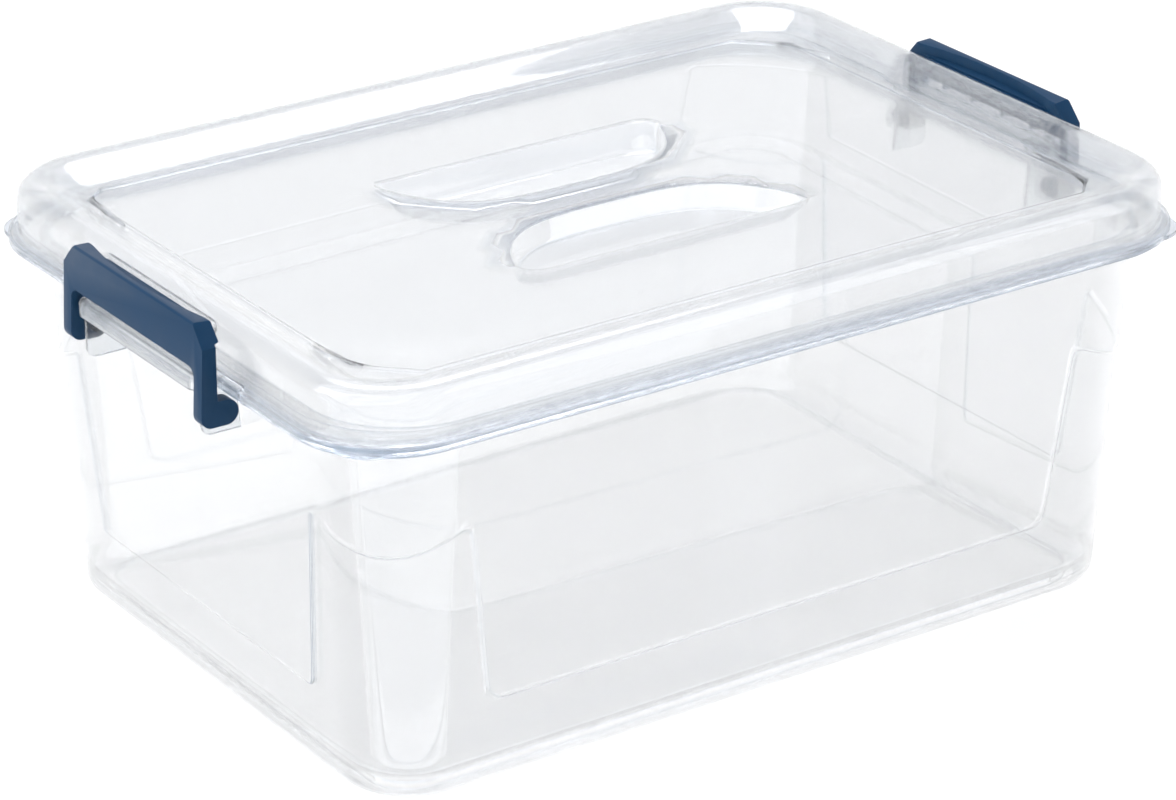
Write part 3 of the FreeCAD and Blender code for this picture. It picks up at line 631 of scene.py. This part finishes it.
# %% [markdown]
# Both plastics are polypropylene. Left clear it is faintly blue and its surface is not quite
# flat, so what lies behind is soft; its tight edges get a painted shade, a darker blue-grey tint.
# With blue pigment it is a dense satin plastic. The patterns are worked out from real sizes:
# the ripple of a cooled wall is some 30 mm long, and the fine texture of a mould face about half a
# millimetre.

# %% Material helpers
def linear(hex_colour):
    """sRGB hex to linear RGBA."""
    values = [int(hex_colour[k:k + 2], 16) / 255 for k in (1, 3, 5)]
    return [v / 12.92 if v <= 0.04045 else ((v + 0.055) / 1.055) ** 2.4 for v in values] + [1.0]


def new_material(name):
    """An empty material and its node tree, with an output."""
    material = bpy.data.materials.new(name)
    material.use_nodes = True
    material.node_tree.nodes.clear()
    return material, material.node_tree


def add_node(tree, kind, settings=(), links=()):
    """Adds a node, sets its properties or inputs by name, and links inputs to other outputs."""
    made = tree.nodes.new(kind)
    for name, value in dict(settings).items():
        if isinstance(name, str) and hasattr(made, name):
            setattr(made, name, value)
        else:
            made.inputs[name].default_value = value
    for name, output in dict(links).items():
        tree.links.new(output, made.inputs[name])
    return made


def per_metre(millimetres):
    """Texture scale that gives a pattern of this size."""
    return 1000.0 / millimetres


# %% Clear polypropylene
def clear_polypropylene(name, tint, painted_edge_shade, roughness, ripple):
    """Clear moulded plastic: mostly straight transmission, a faint tint and a soft ripple of the wall.

    Tight curves get a painted edge shade: a darker tint and a higher alpha, set from pointiness.
    """
    material, tree = new_material(name)
    place = add_node(tree, "ShaderNodeTexCoord")
    wave = add_node(tree, "ShaderNodeTexNoise", {"Scale": per_metre(30.0), "Detail": 2.0},
                    {"Vector": place.outputs["Object"]})
    bump = add_node(tree, "ShaderNodeBump", {"Strength": 1.0, "Distance": ripple * MM},
                    {"Height": wave.outputs["Fac"]})
    cloud = add_node(tree, "ShaderNodeMapRange",
                     {"From Min": 0.3, "From Max": 0.7,
                      "To Min": roughness * 0.8, "To Max": roughness * 1.2},
                     {"Value": wave.outputs["Fac"]})
    # Painted edge shade: where pointiness is far from flat, the colour mixes towards the darker edge colour
    # and alpha rises.
    shape = add_node(tree, "ShaderNodeNewGeometry")
    bent = add_node(tree, "ShaderNodeMath", {"operation": "SUBTRACT", 1: 0.5},
                    {0: shape.outputs["Pointiness"]})
    size = add_node(tree, "ShaderNodeMath", {"operation": "ABSOLUTE"}, {0: bent.outputs[0]})
    edge = add_node(tree, "ShaderNodeMapRange", {"From Min": 0.015, "From Max": 0.06},
                    {"Value": size.outputs[0]})
    shade = add_node(tree, "ShaderNodeMix", {"data_type": "RGBA", 6: linear(tint), 7: linear(painted_edge_shade)},
                     {0: edge.outputs["Result"]})
    alpha_with_edge_shade = add_node(tree, "ShaderNodeMapRange", {"To Min": 0.5, "To Max": 0.95},
                     {"Value": edge.outputs["Result"]})
    shader = add_node(tree, "ShaderNodeBsdfPrincipled", {"IOR": 1.49, "Transmission Weight": 1.0},
                      {"Base Color": shade.outputs[2], "Alpha": alpha_with_edge_shade.outputs["Result"],
                       "Normal": bump.outputs["Normal"], "Roughness": cloud.outputs["Result"]})
    add_node(tree, "ShaderNodeOutputMaterial", {}, {"Surface": shader.outputs["BSDF"]})
    return material


# The second colour of each clear material is its painted edge shade.
clear_tub = clear_polypropylene("clear moulded polypropylene", "#F8F9FA",
                                "#8A9BAD", 0.03, 0.008)
clear_bar = clear_polypropylene("clear moulded polypropylene, bar", "#FBFCFC", "#ECEFF2", 0.2, 0.02)
clear_lid = clear_polypropylene("clear moulded polypropylene, lid", "#EFF1F4",
                                "#DCE2EB", 0.05, 0.008)
print(clear_tub.name, "and", clear_lid.name)


# %% Blue polypropylene
def blue_polypropylene():
    """Pigmented satin plastic with a fine mould texture and slightly uneven gloss."""
    material, tree = new_material("blue moulded polypropylene")
    place = add_node(tree, "ShaderNodeTexCoord")
    grain = add_node(tree, "ShaderNodeTexNoise", {"Scale": per_metre(0.6), "Detail": 2.0},
                     {"Vector": place.outputs["Object"]})
    patches = add_node(tree, "ShaderNodeTexNoise", {"Scale": per_metre(18.0), "Detail": 3.0},
                       {"Vector": place.outputs["Object"]})
    bump = add_node(tree, "ShaderNodeBump", {"Strength": 0.25, "Distance": 0.05 * MM},
                    {"Height": grain.outputs["Fac"]})
    gloss = add_node(tree, "ShaderNodeMapRange",
                     {"From Min": 0.3, "From Max": 0.7, "To Min": 0.34, "To Max": 0.44},
                     {"Value": patches.outputs["Fac"]})
    shade = add_node(tree, "ShaderNodeMix", {"data_type": "RGBA"})
    shade.inputs[6].default_value = linear("#123755")
    shade.inputs[7].default_value = linear("#153C5D")
    tree.links.new(patches.outputs["Fac"], shade.inputs[0])
    shader = add_node(tree, "ShaderNodeBsdfPrincipled", {"IOR": 1.49, "Specular IOR Level": 0.2},
                      {"Base Color": shade.outputs[2], "Normal": bump.outputs["Normal"],
                       "Roughness": gloss.outputs["Result"]})
    add_node(tree, "ShaderNodeOutputMaterial", {}, {"Surface": shader.outputs["BSDF"]})
    return material


blue = blue_polypropylene()
for piece in bpy.context.scene.objects:
    if piece.type == "MESH" and piece.name.startswith("handle_") and "bar" not in piece.name:
        piece.data.materials.append(blue)
    elif piece.type == "MESH" and piece.name.startswith("lid_"):
        piece.data.materials.append(clear_lid)
    elif piece.type == "MESH" and piece.name.startswith(("handle_bar", "cheeks")):
        piece.data.materials.append(clear_bar)
    elif piece.name == "tub_shell":
        piece.data.materials.append(clear_tub)
print("materials set")

# %% [markdown]
# A clear object is drawn by what it reflects and bends, so it stands on a bright floor under a
# sky that is white at the horizon and greyer overhead. Big soft lamps give the long white bands
# along the bead.

# %% Floor, world and lamps
bpy.ops.mesh.primitive_circle_add(vertices=96, radius=12, fill_type="NGON")
floor = bpy.context.object
floor.name = "floor"
floor_material, tree = new_material("matt white floor")
shader = add_node(tree, "ShaderNodeBsdfPrincipled",
                  {"Base Color": linear("#828282"), "Roughness": 0.9, "Emission Color": linear("#FFFFFF"),
                   "Emission Strength": 0.82})
add_node(tree, "ShaderNodeOutputMaterial", {}, {"Surface": shader.outputs["BSDF"]})
floor.data.materials.append(floor_material)

scene = bpy.context.scene
world = bpy.data.worlds.new("studio")
scene.world = world
world.use_nodes = True
sky = world.node_tree
heading = add_node(sky, "ShaderNodeTexCoord")
split = add_node(sky, "ShaderNodeSeparateXYZ", {}, {"Vector": heading.outputs["Generated"]})
height = add_node(sky, "ShaderNodeMapRange", {"From Min": 0.25, "From Max": 0.75},
                  {"Value": split.outputs["Z"]})
sky_shade = add_node(sky, "ShaderNodeMix", {"data_type": "RGBA", 6: linear("#FFFFFF"), 7: linear("#B9C1CE")},
                     {0: height.outputs["Result"]})
sky.links.new(sky_shade.outputs[2], sky.nodes["Background"].inputs["Color"])
sky.nodes["Background"].inputs["Strength"].default_value = 0.97


def soft_lamp(name, place, target, size, power):
    """Square area lamp that points at a target."""
    lamp = bpy.data.lights.new(name, "AREA")
    lamp.shape = "RECTANGLE"
    lamp.size, lamp.size_y = size
    lamp.energy = power
    holder = bpy.data.objects.new(name, lamp)
    scene.collection.objects.link(holder)
    holder.location = place
    holder.rotation_euler = (Vector(target) - Vector(place)).to_track_quat("-Z", "Y").to_euler()
    return holder


soft_lamp("top lamp", (0.3, 0.6, 2.6), (0, 0, 0.2), (2.2, 1.6), 40)
soft_lamp("left lamp", (-2.6, 0.4, 1.5), (0, 0, 0.15), (1.4, 1.4), 30)
scene.view_settings.view_transform = "Standard"
scene.cycles.max_bounces = 24
scene.cycles.glossy_bounces = 16
scene.cycles.transparent_max_bounces = 24
scene.cycles.transmission_bounces = 24

# %% Camera
AZIMUTH, ELEVATION = math.radians(-34.429), math.radians(24.19)
DISTANCE = 2.7074
aim = Vector((-0.0209, -0.0274, 0.134))
away = Vector((math.sin(AZIMUTH) * math.cos(ELEVATION), -math.cos(AZIMUTH) * math.cos(ELEVATION),
               math.sin(ELEVATION)))
camera_data = bpy.data.cameras.new("camera")
camera_data.sensor_width = 36
camera_data.lens = 137.76
camera_data.clip_end = 50
camera = bpy.data.objects.new("camera", camera_data)
scene.collection.objects.link(camera)
camera.location = aim + away * DISTANCE
camera.rotation_euler = (-away).to_track_quat("-Z", "Y").to_euler()
scene.camera = camera
print("camera at", tuple(round(c, 3) for c in camera.location))
